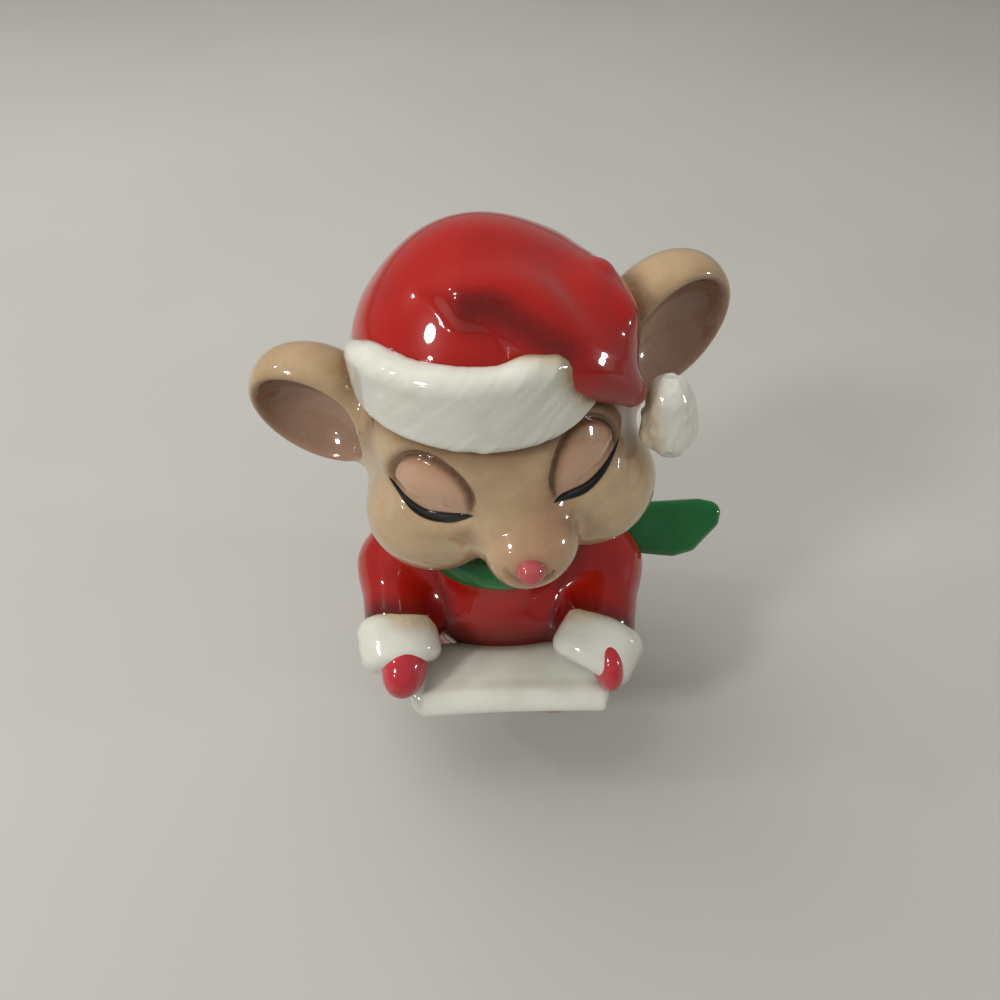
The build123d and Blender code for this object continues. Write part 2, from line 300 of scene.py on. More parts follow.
def ear_base(q, s):
    """The ear with its stem and its bowl, in the head's own directions."""
    e = ear_local(q, s)
    outer = smax(ellipsoid(e, *EAR_BALL), -(e[..., 1] + EAR_FLAT), 2.2)
    outer = smin(outer, cone(flip(q, s), *EAR_STEM), 4)
    return smax(outer, -ellipsoid(e, *EAR_CUP), 1.5)


def join_ears(face, ears):
    return smin(smin(face, ears[0], EAR_BLEND), ears[1], EAR_BLEND)


def skin(p):
    """Head and both ears in one."""
    q = head_local(p)
    return join_ears(face_base(q), (ear_base(q, 1), ear_base(q, -1)))


def eye_uv(q, s):
    """Places in the plane of one eye, across and up, and the depth behind it."""
    e = local(flip(q, s), EYE_C, EYE_R)
    return e[..., 0], e[..., 2], e[..., 1]


def eye_edge(u, v, s):
    """Distance outside the eye's outline, in the plane of the eye."""
    radii = np.asarray(EYE_OUT[s], F)
    turn = np.arctan2(v, u) / (2 * math.pi) * len(radii) % len(radii)
    i = np.minimum(turn.astype(int), len(radii) - 1)
    a, b, c, d = (radii[(i + j) % len(radii)] for j in (-1, 0, 1, 2))
    return np.hypot(u, v) - smooth(a, b, c, d, turn - i)


def eye_relief(q, s):
    """How far the lid, its socket and the cheek below it stand out of the face."""
    u, v, w = eye_uv(q, s)
    e = eye_edge(u, v, s)
    front = step(6.0, 3.0, w)
    upper = step(-2.6, 0.2, v)
    lid = LID_HEIGHT * step(0.0, -4.5, e) * (0.4 + 0.6 * upper)
    groove = -RIM_DEPTH * bell(np.where(e > 0, e, e * 1.3), 0.62) * upper
    brow = BROW_HEIGHT * bell(e - 1.9, 1.3) * upper
    under = -UNDER_DEPTH * step(1.1, -1.3, e) * step(-5, 0.5, e) * (1 - upper)
    cheek = CHEEK_HEIGHT * bell(e - 1.8, 1.6) * (1 - upper) * step(7.5, 4.0, np.abs(u))
    return (lid + groove + under + brow + cheek) * front


def head_field(p):
    q = head_local(p)
    f = face_base(q)
    off, width = thread(q, MOUTH, 13)
    f = f + MOUTH_DEPTH * bell(np.linalg.norm(off, axis=-1) / width, 1.2)
    ears = ear_base(q, 1), ear_base(q, -1)
    d = join_ears(f, ears)
    for s in SIDES:
        d = d - eye_relief(q, s)
    return np.maximum(d + SEAM, f - np.minimum(*ears) - OVERLAP)


def ear_field(p, s):
    q = head_local(p)
    f = face_base(q)
    e = ear_base(q, s)
    return np.maximum(smin(f, e, EAR_BLEND), e - f)


def nose_field(p):
    return ellipsoid(head_local(p), *NOSE)


# The hat: a fur band, a dome with a folded point, and a bobble

BAND_C = (0.525, 1.805, 15.75)
BAND_R = rot(pitch=-3, roll=4)
BAND_RADIUS = 17.85
BAND_HALF_WIDTH = 2.65
BAND_HALF_HEIGHT = 5.95
BAND_ROUNDING = 2.45
BAND_TOP_DROP = 4.6
BAND_FOOT_RISE = 3.4
BAND_FOOT_DIP = 0.8
BAND_TOP_PEAK = 0.6
BAND_STROKE = 1.5

DOME = ((0.504, 3.04, 13.1), (20.055, 18.8, 17.1))
DOME_TOP = ((-0.5, 3.0, 21.4), (10, 10, 9.3))
DOME_BLEND = 5.0
DOME_FOOT = -2.5
HEAD_HOLLOW = ((0, 0, 0), (20, 18, 19))
# Soft lumps of the drooping point: place, semi-axes and blend
FLAP_LUMPS = [
    ((14.14, -1.9, 16.6), (8.0, 10.3, 8.5), 3.0),
    ((17.3, 0.4, 22.8), (1.9, 2.2, 1.7), 1.2),
    ((18.6, -5.6, 20.0), (2.4, 3.6, 2.6), 1.6),
]
# The roll of the folded point, from its hook on the dome to the tip over the ear, with radii, and the groove under it
# with depths
ROLL = [
    (-1.0, -8.4, 26.6, 2.2),
    (2.4, -8.5, 25.9, 3.1),
    (5.6, -9.4, 23.9, 4.1),
    (8.7, -11.0, 21.1, 4.5),
    (12.1, -11.9, 17.85, 4.1),
    (15.9, -11.5, 14.2, 3.2),
    (19.0, -10.8, 10.9, 2.3),
]
GROOVE = [
    (-0.6, -9.9, 27.9, 0.5),
    (1.2, -10.4, 27.9, 0.9),
    (2.9, -11.2, 27.2, 1.1),
    (4.8, -12.3, 26.2, 1.2),
    (6.6, -13.5, 24.9, 1.2),
    (8.4, -14.5, 23.6, 1.1),
    (10.3, -15.0, 22.2, 0.7),
]
GROOVE_WIDTH = 1.8
GROOVE_DEPTH = 0.9

POM_C = (24.7, -10.2, 6.6)
POM_LOW = ((24.6, -10.6, 2.8), (4.3, 4.2, 5.1))
POM_HIGH = ((24.7, -9.8, 8.0), (3.3, 3.3, 2.9))
POM_BLEND = 2.6
POM_LUMP = 0.28


def band_local(p):
    return local(head_local(p), BAND_C, BAND_R)


def band_field(p):
    """The fur band: its top is lower at the right and the back, its foot is higher on the left."""
    q = band_local(p)
    angle = around(q)
    s = angle * BAND_RADIUS
    drop = BAND_TOP_DROP * step(-0.95, -1.75, angle) + BAND_TOP_DROP * step(2.2, 3.1, angle)
    rise = BAND_FOOT_RISE * step(0.45, 1.1, angle) * step(2.4, 1.6, angle) - BAND_FOOT_DIP * bell(angle - 0.05, 0.5)
    peak = BAND_TOP_PEAK * bell(angle - 0.28, 0.22)
    zero = np.zeros_like(s)
    shifted = q - np.stack([zero, zero, (rise - drop + peak) / 2], -1)
    half_height = BAND_HALF_HEIGHT - (drop + rise - peak) / 2
    d = ring(shifted, BAND_RADIUS, BAND_HALF_WIDTH, half_height, BAND_ROUNDING)
    edge = 0.35 * grain(np.stack([s / 4, zero, zero + 3], -1), 5)
    fur = tufts(s, q[..., 2], d, BAND_STROKE, 11)
    deep = 0.05 + 0.09 * step(-9, 1, s) + 0.04 * step(2, 5, q[..., 2])
    return d + edge * step(1, 5, q[..., 2]) * 0.5 - deep * fur + 0.05


def crown_field(p):
    q = head_local(p)
    dome = smin(ellipsoid(q, *DOME), ellipsoid(q, *DOME_TOP), DOME_BLEND)
    dome = smax(dome, DOME_FOOT - band_local(p)[..., 2], 0.5)
    off, radius = thread(q, ROLL, 61)
    tube = np.linalg.norm(off, axis=-1) - radius
    # the roll runs softly into the dome above it, and stands out sharply below
    above = off[..., 2] * 0.75 + off[..., 1] * 0.6 + off[..., 0] * 0.3
    d = smin(dome, tube, 1.6 + 5.5 * step(-1.5, 3.0, above))
    off, depth = thread(q, GROOVE, 13)
    d = d + GROOVE_DEPTH * depth * bell(np.linalg.norm(off, axis=-1), GROOVE_WIDTH)
    for centre, semi, blend in FLAP_LUMPS:
        d = smin(d, ellipsoid(q, centre, semi), blend)
    return smax(d, -ellipsoid(q, *HEAD_HOLLOW), 0.6)


def pompom_field(p):
    q = head_local(p)
    d = smin(ellipsoid(q, *POM_LOW), ellipsoid(q, *POM_HIGH), POM_BLEND)
    o = q - np.asarray(POM_C, F)
    lumps = grain(o / 2.4, 21) + 0.8 * grain(o / np.array([0.9, 0.9, 1.9], F), 22)
    return d - POM_LUMP * lumps + 0.15


# The body: a hollow coat that is turned about the Z axis, with arms that blend into it

# The coat's outer radius at these heights
COAT_Z = [0, 3, 5.98, 10.5, 16.1, 22, 28.98, 34, 38.18, 41.5, 43.7, 46]
COAT_OUT = [19.5, 19.4, 19.11, 17.9, 16.575, 16.15, 15.99, 15.7, 15.015, 13.7, 12.09, 9.75]
COAT_STEEPNESS = 0.93
COAT_TOP = 45.6
NECK_RADIUS = 8
NECK_Z = 40
NECK_HALF_HEIGHT = 13
NECK_BLEND = 2.0
CHEST = ((1.0, -10.4, 22.0), (15.0, 8.9, 10.5))
CHEST_BLEND = 3.0
WALL = 3.5
HOLLOW_TOP = 42
VENT_RADIUS = 4.0
VENT_TOP = 6

SHOULDER = np.array([12.68, -0.98, 37.49])
ELBOW = np.array([18.53, -6.05, 29.9])
FORE = np.array([-0.0786, -0.9829, -0.1671])
FORE_LENGTH = 12
WRIST = ELBOW + FORE * FORE_LENGTH
ARM_RADII = (7.5, 7.8, 6.8)
ELBOW_BLEND = 2.5
ARM_BLEND = 5.5

CUFF_AHEAD = 3
CUFF = WRIST + FORE * CUFF_AHEAD
CUFF_SHIFT = {1: np.array((0.2, -0.7, -0.9)), -1: np.array((0.7, 0.1, -0.9))}
CUFF_R = {1: rot(yaw=-32, pitch=25), -1: rot(yaw=-14, pitch=25)}
CUFF_RADIUS = {1: 7.6, -1: 7.3}
CUFF_HALF_LENGTH = 5
CUFF_ROUNDING = 2.7
CUFF_POWER = 2.6

MITTEN = CUFF + np.array([0.158, -4.8, -0.79])
MITTEN_SHIFT = {1: np.array((1.1, 0.0, 1.5)), -1: np.array((-0.9, -0.8, 0.4))}
MITTEN_SEMI = {1: (2.7, 5.3, 4.8), -1: (3.9, 5.3, 4.5)}
MITTEN_R = rot(yaw=10, pitch=20)


def coat_body(p):
    z = p[..., 2]
    r = np.hypot(p[..., 0], p[..., 1])
    side = (r - np.interp(z, COAT_Z, COAT_OUT).astype(F)) * COAT_STEEPNESS
    d = smax(smax(side, -z, 0.8), z - COAT_TOP, 2.0)
    neck = np.maximum(r - NECK_RADIUS, np.abs(z - NECK_Z) - NECK_HALF_HEIGHT)
    return smin(d, neck, NECK_BLEND)


def torso(p):
    """The coat's body with the chest that slopes down to the sheet."""
    return smin(coat_body(p), ellipsoid(p, *CHEST), CHEST_BLEND)


def arm(p, s):
    m = flip(p, s)
    shoulder, elbow, wrist = ARM_RADII
    upper, fore = cone(m, SHOULDER, ELBOW, shoulder, elbow), cone(m, ELBOW, WRIST, elbow, wrist)
    return smin(upper, fore, ELBOW_BLEND)


def coat_field(p):
    c = torso(p)
    a, b = arm(p, 1), arm(p, -1)
    joined = smin(smin(c, a, ARM_BLEND), b, ARM_BLEND)
    d = np.maximum(joined + SEAM, c - np.minimum(a, b) - OVERLAP)
    hollow = smax(coat_body(p) + WALL, p[..., 2] - HOLLOW_TOP, 1.0)
    d = np.maximum(d, -hollow)
    vent = np.hypot(p[..., 0], p[..., 1]) - VENT_RADIUS
    return np.maximum(d, -np.maximum(vent, p[..., 2] - VENT_TOP))


def sleeve_field(p, s):
    c = torso(p)
    a, b = arm(p, s), arm(p, -s)
    return np.maximum(smin(smin(c, a, ARM_BLEND), b, ARM_BLEND), a - np.minimum(c, b))


def cuff_field(p, s):
    q = local(flip(p, s), CUFF + CUFF_SHIFT[s], CUFF_R[s])
    r = (np.abs(q[..., 0]) ** CUFF_POWER + np.abs(q[..., 2]) ** CUFF_POWER + 1e-6) ** (1 / CUFF_POWER)
    d = rounded(r - CUFF_RADIUS[s], np.abs(q[..., 1]) - CUFF_HALF_LENGTH, CUFF_ROUNDING)
    fur = tufts(np.arctan2(q[..., 0], q[..., 2]) * 7, q[..., 1], r, 1.4, 31 + s)
    return d - 0.05 * fur + 0.1 + 0.15 * grain(q / 4, 33 + s)


def mitten_field(p, s):
    return ellipsoid(flip(p, s), MITTEN + MITTEN_SHIFT[s], MITTEN_SEMI[s], MITTEN_R)


# The song sheet: a thick leaf with curled sides and a rolled front lip

SHEET = np.array([2.16, -22.19, 21.545])
SHEET_R = rot(pitch=-14) @ rot(roll=-2)
SHEET_MIDDLE = (-0.6, -1.7)
SHEET_HALF = (17.1, 6.8, 1.2)
SHEET_ROUNDING = 1.1
CURL_LEFT = 16.2
CURL_RIGHT = 15.4
LIP_Y = -8.3
LIP_RADIUS = 1.6
LIP_HALF = 16.7
LIP_BLEND = 2.2
SHEET_STEEPNESS = 0.85


def sheet_curve(x, y):
    """Height of the sheet: a low bow, with both sides curled up, the left one wider towards the back."""
    left = np.maximum(x - CURL_LEFT + 5.2 * np.clip((y + 8.5) / 14, 0, 1), 0)
    right = np.maximum(-x - CURL_RIGHT, 0)
    bow = 0.6 * (1 - (x / 17) ** 2) - 0.02 * (y + 1) ** 2
    return bow + 0.8 * left**2 / (left + 1.0) + 1.7 * right**2 / (right + 0.8)


def sheet_field(p):
    q = local(p, SHEET, SHEET_R)
    x, y, z = q[..., 0], q[..., 1], q[..., 2]
    z = z - sheet_curve(x, y)
    a = np.abs(x - SHEET_MIDDLE[0]) - SHEET_HALF[0] + SHEET_ROUNDING
    b = np.abs(y - SHEET_MIDDLE[1]) - SHEET_HALF[1] + SHEET_ROUNDING
    c = np.abs(z) - SHEET_HALF[2] + SHEET_ROUNDING
    leaf = np.sqrt(np.maximum(a, 0) ** 2 + np.maximum(b, 0) ** 2 + np.maximum(c, 0) ** 2)
    leaf = leaf + np.minimum(np.maximum(np.maximum(a, b), c), 0) - SHEET_ROUNDING
    roll = np.hypot(y - LIP_Y, z + 0.3 - 0.02 * x) - LIP_RADIUS
    lip = smax(roll, np.abs(x - SHEET_MIDDLE[0]) - LIP_HALF, 0.8)
    return smin(leaf, lip, LIP_BLEND) * SHEET_STEEPNESS


# The scarf, the feet, the tail and the coat's fur hem

SCARF_C = (0, -2.535, 43.24)
SCARF_R = rot(pitch=12)
SCARF_RADIUS = 12.5
SCARF_TUBE_RADIUS = 4.2
END_C = (16.77, 1.95, 31.74)
END_R = rot(pitch=47) @ rot(roll=-3)
# The scarf's free end in its own plane
END_OUT = [(0, -2.0), (16.6, -3.4), (19.4, -2.6), (23.2, 1.6), (23.4, 2.8), (21.4, 3.2), (0, 2.0)]
END_MARGIN = 2.3
END_HALF_THICKNESS = 2.1
END_ROUNDING = 1.8
FOOT_C = (12.09, -10.6)
FOOT_FORWARD = 0.7
FOOT_SEMI = (6.5, 10.5, 4.8)
FOOT_R = rot(yaw=-12)
# The tail's middle line with radii
TAIL = [
    (1.95, 20.1, 3.3, 3.0),
    (8.19, 23.1, 3.3, 2.62),
    (15.6, 20.3, 3.65, 2.25),
    (21.45, 12.87, 4.7, 1.87),
    (23.4, 3.9, 7.5, 1.4),
]
HEM_RADIUS = 18.46
HEM_HALF_WIDTH = 2.6
HEM_HALF_HEIGHT = 3.5
HEM_ROUNDING = 2.34


def scarf_field(p):
    q = local(p, SCARF_C, SCARF_R)
    r = np.hypot(q[..., 0], q[..., 1]) - SCARF_RADIUS
    d = np.hypot(r, q[..., 2]) - SCARF_TUBE_RADIUS
    fold = np.sin(around(q) * 5 + q[..., 2] * 0.9)
    return d - 0.12 * fold + 0.1


def scarf_end_field(p):
    q = local(p, END_C, END_R)
    wave = 0.3 * np.sin(q[..., 0] * 0.35)
    return rounded(polygon(q, END_OUT) - END_MARGIN, np.abs(q[..., 2] + wave) - END_HALF_THICKNESS, END_ROUNDING)


def foot_field(p, s):
    m = flip(p, s)
    d = ellipsoid(m, (FOOT_C[0], FOOT_C[1] - FOOT_FORWARD * s, 0), FOOT_SEMI, FOOT_R)
    return smax(d, -m[..., 2], 0.4)


def tail_field(p):
    off, radius = thread(p, TAIL, 17)
    return np.linalg.norm(off, axis=-1) - radius


def hem_field(p):
    r = np.hypot(p[..., 0], p[..., 1])
    q = p - np.array([0, 0, HEM_HALF_HEIGHT], F)
    d = ring(q, HEM_RADIUS, HEM_HALF_WIDTH, HEM_HALF_HEIGHT, HEM_ROUNDING)
    fur = tufts(around(p) * 21, p[..., 2], r, 1.5, 41)
    return smax(d - 0.16 * fur + 0.1, -p[..., 2], 0.3)


# From distances to meshes

# The grid is filled in blocks of cells; only blocks near the surface are worked out cell by cell
BLOCK = 4
BLOCK_REACH = 1.9
EXTRA_REACH = 0.35
POINTS_AT_ONCE = 60000
BLOCKS_AT_ONCE = 4000
SURFACE_ROUNDS = 3
LONGEST_MOVE = 0.6
LEAST_SLOPE = 0.2
CORNERS = [(x, y, z) for x in (0, 1) for y in (0, 1) for z in (0, 1)]


def lattice(counts):
    """All whole-number places of a box, one per row."""
    return np.stack(np.meshgrid(*[np.arange(c) for c in counts], indexing="ij"), -1).reshape(-1, 3)


def sample(fn, lo, hi, h):
    """Values of a distance on a grid, exact only near its surface."""
    lo, hi = np.asarray(lo, float), np.asarray(hi, float)
    blocks = np.ceil((hi - lo) / (BLOCK * h)).astype(int) + 1
    at = lattice(blocks)
    centre = (lo + (at * BLOCK + (BLOCK - 1) / 2) * h).astype(F)
    d = np.concatenate([fn(c) for c in np.array_split(centre, max(1, len(centre) // POINTS_AT_ONCE))])
    values = d.reshape(blocks)
    for axis in range(3):
        values = np.repeat(values, BLOCK, axis)
    values = values.astype(F)
    cell = lattice([BLOCK] * 3)
    active = at[np.abs(d) < BLOCK * h * BLOCK_REACH + EXTRA_REACH]
    for chunk in np.array_split(active, max(1, len(active) // BLOCKS_AT_ONCE)):
        idx = chunk[:, None, :] * BLOCK + cell[None]
        values[idx[..., 0], idx[..., 1], idx[..., 2]] = fn((lo + idx * h).astype(F))
    return values


def slope(fn, v, e):
    """The distance at points v, and its slope."""
    v = v.astype(F)
    g = np.stack([(fn(v + e * a) - fn(v - e * a)) / (2 * e) for a in np.eye(3, dtype=F)], 1)
    return fn(v), g


def way_to_surface(fn, v, e):
    """How far points v lie off the surface, along its slope."""
    d, g = slope(fn, v, e)
    return d[:, None] * g / np.maximum((g * g).sum(1), LEAST_SLOPE)[:, None]


def skin_mesh(fn, lo, hi, h):
    """Surface nets, then each vertex is moved onto the surface itself."""
    values = sample(fn, lo, hi, h)
    n = values.shape
    inside = values < 0
    count = sum(inside[x : n[0] - 1 + x, y : n[1] - 1 + y, z : n[2] - 1 + z].astype(np.int8) for x, y, z in CORNERS)
    cells = np.argwhere((count > 0) & (count < 8))
    index = -np.ones(count.shape, np.int64)
    index[tuple(cells.T)] = np.arange(len(cells))
    total, hits = np.zeros((len(cells), 3)), np.zeros(len(cells))
    for i, first in enumerate(CORNERS):
        for second in CORNERS[i + 1 :]:
            a, b = np.array(first), np.array(second)
            if np.abs(a - b).sum() != 1:
                continue
            va, vb = values[tuple((cells + a).T)], values[tuple((cells + b).T)]
            cross = (va < 0) != (vb < 0)
            t = np.where(cross, va / np.where(cross, va - vb, 1), 0)
            total[cross] += (a + (b - a) * t[:, None])[cross]
            hits[cross] += 1
    verts = np.asarray(lo, float) + h * (cells + total / hits[:, None])
    faces = []
    for axis in range(3):
        o = [1 if i == axis else 0 for i in range(3)]
        a = inside[tuple(slice(0, n[i] - o[i]) for i in range(3))]
        b = inside[tuple(slice(o[i], n[i]) for i in range(3))]
        edge = np.argwhere(a != b)
        u, v = (axis + 1) % 3, (axis + 2) % 3
        edge = edge[(edge[:, u] > 0) & (edge[:, v] > 0) & (edge[:, u] < n[u] - 1) & (edge[:, v] < n[v] - 1)]
        du, dv = np.zeros(3, int), np.zeros(3, int)
        du[u] = dv[v] = 1
        quad = np.stack([index[tuple((edge - w).T)] for w in (du + dv, dv, du * 0, du)], 1)
        turned = ~a[tuple(edge.T)]
        quad[turned] = quad[turned][:, ::-1]
        faces.append(quad)
    for _ in range(SURFACE_ROUNDS):
        move = way_to_surface(fn, verts, h * 0.25)
        size = np.linalg.norm(move, axis=1)
        verts = verts - move * np.minimum(1, LONGEST_MOVE * h / np.maximum(size, 1e-9))[:, None]
    _, g = slope(fn, verts, h * 0.5)
    return verts, np.concatenate(faces), g / np.maximum(np.linalg.norm(g, axis=1), 1e-9)[:, None]


collection = bpy.context.scene.collection


def piece(name, fn, lo, hi, h, material, nodes, masks=None):
    """A mesh piece that stands for CAD nodes, with its shades as point values."""
    verts, faces, normals = skin_mesh(fn, lo, hi, h)
    mesh = bpy.data.meshes.new(name)
    mesh.vertices.add(len(verts))
    mesh.vertices.foreach_set("co", (verts * MM).astype(F).ravel())
    mesh.loops.add(faces.size)
    mesh.loops.foreach_set("vertex_index", faces.ravel().astype(np.int32))
    mesh.polygons.add(len(faces))
    mesh.polygons.foreach_set("loop_start", np.arange(0, faces.size, 4, dtype=np.int32))
    mesh.update(calc_edges=True)
    mesh.shade_smooth()
    mesh.normals_split_custom_set_from_vertices(normals)
    for key, values in (masks(verts.astype(F), normals) if masks else {}).items():
        layer = mesh.attributes.new(key, "FLOAT", "POINT")
        layer.data.foreach_set("value", np.clip(values, 0, 1).astype(F))
    o = bpy.data.objects.new(name, mesh)
    collection.objects.link(o)
    mesh.materials.append(material)
    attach(o, "root")
    if nodes:
        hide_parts(*nodes)


# Glazes


def lin(r, g, b):
    """A colour read as 0 to 255, as the shader wants it."""
    out = []
    for v in (r, g, b):
        v = v / 255
        out.append(v / 12.92 if v <= 0.04045 else ((v + 0.055) / 1.055) ** 2.4)
    return (*out, 1.0)


class Nodes:
    """A material and the few shader nodes that it needs."""

    def __init__(self, name):
        self.material = bpy.data.materials.new(name)
        self.material.use_nodes = True
        self.tree = self.material.node_tree
        self.shader = self.tree.nodes["Principled BSDF"]
        self.coords = self.tree.nodes.new("ShaderNodeTexCoord").outputs["Object"]

    def link(self, a, b):
        self.tree.links.new(a, b)

    def noise(self, scale, detail=2.0, rough=0.5):
        n = self.tree.nodes.new("ShaderNodeTexNoise")
        n.inputs["Scale"].default_value = scale
        n.inputs["Detail"].default_value = detail
        n.inputs["Roughness"].default_value = rough
        self.link(self.coords, n.inputs["Vector"])
        return n.outputs["Fac"]

    def range(self, value, lo, hi, out_lo=0.0, out_hi=1.0):
        n = self.tree.nodes.new("ShaderNodeMapRange")
        n.inputs["From Min"].default_value = lo
        n.inputs["From Max"].default_value = hi
        n.inputs["To Min"].default_value = out_lo
        n.inputs["To Max"].default_value = out_hi
        self.link(value, n.inputs["Value"])
        return n.outputs["Result"]

    def times(self, a, b):
        n = self.tree.nodes.new("ShaderNodeMath")
        n.operation = "MULTIPLY"
        self.link(a, n.inputs[0])
        if isinstance(b, float):
            n.inputs[1].default_value = b
        else:
            self.link(b, n.inputs[1])
        return n.outputs[0]

    def attribute(self, name):
        n = self.tree.nodes.new("ShaderNodeAttribute")
        n.attribute_name = name
        return n.outputs["Fac"]

    def mix(self, factor, a, b):
        n = self.tree.nodes.new("ShaderNodeMix")
        n.data_type = "RGBA"
        self.link(factor, n.inputs["Factor"])
        for key, value in (("A", a), ("B", b)):
            socket = [i for i in n.inputs if i.name == key and i.type == "RGBA"][0]
            if isinstance(value, tuple):
                socket.default_value = value
            else:
                self.link(value, socket)
        return [o for o in n.outputs if o.type == "RGBA"][0]


GLAZE_ROUGHNESS = 0.3
GLAZE_SPECULAR = 0.1
CLEAR_ROUGHNESS = 0.035
CLEAR_IOR = 1.5
WAVE_HEIGHT = 0.01 * MM
BLOTCH_SCALE = 170
SPRAY_SCALE = 1300
WAVE_SCALE = 260


def glaze(name, light, dark, layers=(), coat=1.0):
    """Glossy glaze: a slightly uneven colour, painted layers given by point values, and a wavy clear surface."""
    n = Nodes(name)
    colour = n.mix(n.range(n.noise(BLOTCH_SCALE, 3.0, 0.55), 0.35, 0.65), lin(*light), lin(*dark))
    spray = n.range(n.noise(SPRAY_SCALE, 2.0), 0.3, 0.7, 0.8, 1.0)
    for key, paint, strength in layers:
        edge = n.times(n.attribute(key), spray)
        colour = n.mix(n.times(edge, float(strength)), colour, lin(*paint))
    n.link(colour, n.shader.inputs["Base Color"])
    n.shader.inputs["Roughness"].default_value = GLAZE_ROUGHNESS
    n.shader.inputs["Specular IOR Level"].default_value = GLAZE_SPECULAR
    n.shader.inputs["Coat Weight"].default_value = coat
    n.shader.inputs["Coat Roughness"].default_value = CLEAR_ROUGHNESS
    n.shader.inputs["Coat IOR"].default_value = CLEAR_IOR
    bump = n.tree.nodes.new("ShaderNodeBump")
    bump.inputs["Strength"].default_value = 1.0
    bump.inputs["Distance"].default_value = WAVE_HEIGHT
    n.link(n.noise(WAVE_SCALE, 1.0, 0.5), bump.inputs["Height"])
    n.link(bump.outputs["Normal"], n.shader.inputs["Normal"])
    n.link(bump.outputs["Normal"], n.shader.inputs["Coat Normal"])
    return n.material


# Paint layers: the point value that gives each, its colour and its strength
# The last two browns are airbrush, and also painted shade under the hat and the bobble.
tan_layers = [
    ("blush", (162, 104, 80), 0.8),
    ("lid", (190, 147, 120), 0.85),
    ("bowl", (170, 134, 114), 0.95),
    ("deep", (98, 70, 54), 0.9),
    ("stain_and_shade", (118, 82, 48), 0.9),
    ("dark", (84, 52, 28), 0.95),
]
# On the white glaze, grey is painted shade; tan and dark are brown lines and also painted shade.
white_layers = [("grey", (176, 178, 172), 0.6), ("tan", (172, 140, 96), 0.9), ("dark", (104, 76, 48), 0.9)]
tan = glaze("tan_glaze", (187, 161, 125), (174, 147, 111), tan_layers)
# The red's dark layer is painted shade.
red = glaze("red_glaze", (166, 16, 6), (156, 13, 5), [("dark", (52, 6, 6), 0.9)])
white = glaze("white_glaze", (216, 216, 204), (207, 207, 194), white_layers)
# The green's dark layer is painted shade under the chin.
green = glaze("green_glaze", (8, 108, 46), (6, 96, 40), [("dark", (2, 36, 14), 0.9)])
# The mitten's dark layer is painted shade on its lower, back faces.
mitten = glaze("mitten_glaze", (184, 48, 58), (172, 38, 48), [("dark", (104, 14, 22), 0.85)])
pink = glaze("nose_glaze", (184, 84, 86), (170, 70, 74))
black = glaze("lash_glaze", (8, 7, 7), (14, 11, 10), coat=0.7)


# Shades: for the points p and normals n of a piece, how strongly each layer is painted

# Soft brown airbrush and painted shade in hollows on both sides of the face: a place in the head, a size and a depth
FACE_SHADES = [
    ((7.4, -19.4, -4.2), 2.2, 0.7),
    ((8.6, -20.6, -6.4), 1.8, 0.4),
    ((17.2, -4.8, 10.3), 2.3, 1.0),
    ((18.8, -5.2, 7.6), 1.8, 0.7),
    ((19.7, -5.4, 4.9), 2.4, 0.5),
    ((9.8, -16.2, -14.4), 2.5, 0.4),
]
# The blush on the bridge of the nose
BRIDGE_C = (5.5, -19, -1.0)
BRIDGE_SEMI = (3.0, 6, 5.5)


def head_masks(p, n):
    """Brown airbrush and painted shade under the hat and the bobble, brown round the eyes and in the mouth, and a
    blush on the bridge and the nose.
    """
    q = head_local(p)
    band, crown, pom, nose = band_field(p), crown_field(p), pompom_field(p), nose_field(p)
    # Painted shade and brown airbrush next to the band, the dome and the bobble.
    stain_and_shade = 0.7 * near(band, 2.6) + 0.9 * near(crown, 3.0) + 0.9 * near(pom, 2.6)
    dark = 0.95 * near(band, 1.05) + 0.85 * near(crown, 1.5) + 0.7 * near(pom, 1.2)
    lid = np.zeros(len(p))
    for s in SIDES:
        u, v, w = eye_uv(q, s)
        front = step(6.0, 3.0, w)
        e = eye_edge(u, v, s)
        upper = step(-3.6, -1.6, v)
        stain_and_shade = stain_and_shade + 0.8 * bell(np.where(e > 0, e * 0.75, e), 0.9) * upper * front
        dark = dark + 0.85 * bell(e + 0.1, 0.45) * upper * front
        lid = lid + step(0.4, -0.9, e) * front
        m = flip(q, s)
        for place, size, depth in FACE_SHADES:
            stain_and_shade = stain_and_shade + depth * bell(np.linalg.norm(m - np.array(place, F), axis=1), size)
    mouth, width = thread(q, MOUTH, 13)
    dark = dark + bell(np.linalg.norm(mouth, axis=1) / width, 0.9)
    stain_and_shade = stain_and_shade + 0.35 * near(nose, 0.7)
    bridge = np.linalg.norm((q - np.array(BRIDGE_C, F)) / np.array(BRIDGE_SEMI, F), axis=1)
    blush = 0.6 * bell(bridge, 1.0) + 0.6 * near(nose, 4.5)
    return {"blush": blush, "stain_and_shade": stain_and_shade, "dark": dark, "lid": lid}


def ear_masks(s):
    """A brown bowl, deepest at its top and outer side, and brown airbrush with painted shade where the ear meets the
    hat.
    """

    def masks(p, n):
        e = ear_local(head_local(p), s)
        bowl = step(0.75, 0.25, ellipsoid(e, *EAR_CUP)) * step(-3.2, -1.9, e[:, 1])
        deep = bowl * np.clip(0.15 + 0.5 * step(2, 9, e[:, 0]) + 0.55 * step(-1, 6, e[:, 2]), 0, 1)
        crown, pom, band = crown_field(p), pompom_field(p), band_field(p)
        return {
            "bowl": bowl,
            "deep": deep,
            "stain_and_shade": 0.2 + 0.8 * near(band, 2.4) + 0.7 * near(crown, 2.0) + 0.7 * near(pom, 2.4),
            "dark": 0.8 * near(band, 0.9) + 0.4 * near(crown, 0.5),
        }

    return masks


